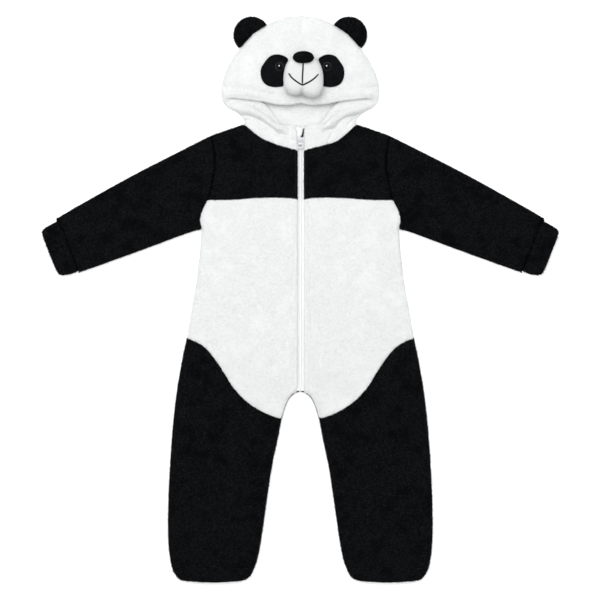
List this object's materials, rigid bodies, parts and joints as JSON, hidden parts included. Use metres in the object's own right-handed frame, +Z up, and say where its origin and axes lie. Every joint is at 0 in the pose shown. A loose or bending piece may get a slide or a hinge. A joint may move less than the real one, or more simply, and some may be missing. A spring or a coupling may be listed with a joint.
{
  "type": "toddler panda onesie costume",
  "caption": "Hooded zip-front fleece onesie costume with a panda face and round ears, laid flat on its back with its arms spread.",
  "frame": {"origin": "on the floor under the middle of the garment's outline", "axes": "+Y to the top of the hood, +X to the wearer's left, +Z up off the floor, which the front faces"},
  "size_m": [0.8524, 0.9339, 0.0568],
  "materials": {
    "black_fleece": "long coral-fleece pile",
    "white_fleece": "long coral-fleece pile",
    "muzzle_plush": "short plush pile",
    "nose_plush": "short plush pile",
    "patch_plush": "plush applique",
    "safety_eye": "polished",
    "zip_tape": "woven tape with nylon coil",
    "zip_metal": "satin enamel"
  },
  "bodies": {
    "garment": {"front_yoke_l": "black_fleece", "front_yoke_r": "black_fleece", "front_leg_l": "black_fleece", "front_leg_r": "black_fleece", "back_yoke": "black_fleece", "back_leg_l": "black_fleece", "back_leg_r": "black_fleece", "sleeve_l": "black_fleece", "sleeve_r": "black_fleece", "cuff_l": "black_fleece", "cuff_r": "black_fleece", "ear_l": "black_fleece", "ear_r": "black_fleece", "front_body_l": "white_fleece", "front_body_r": "white_fleece", "back_body": "white_fleece", "hood_l": "white_fleece", "hood_r": "white_fleece", "muzzle": "muzzle_plush", "nose": "nose_plush", "eye_patch_l": "patch_plush", "eye_patch_r": "patch_plush", "eye_l": "safety_eye", "eye_r": "safety_eye", "zip_tape_l": "zip_tape", "zip_tape_r": "zip_tape", "zip_slider": "zip_metal"},
    "pull_tab": {"zip_pull": "zip_metal"}
  },
  "joints": [
    {"name": "pull_tab_swing", "type": "hinge", "parent": "garment", "child": "pull_tab", "pos_m": [0, 0.2623, 0.0115], "axis": [-1, 0, 0], "range_deg": [0, 175]}
  ]
}
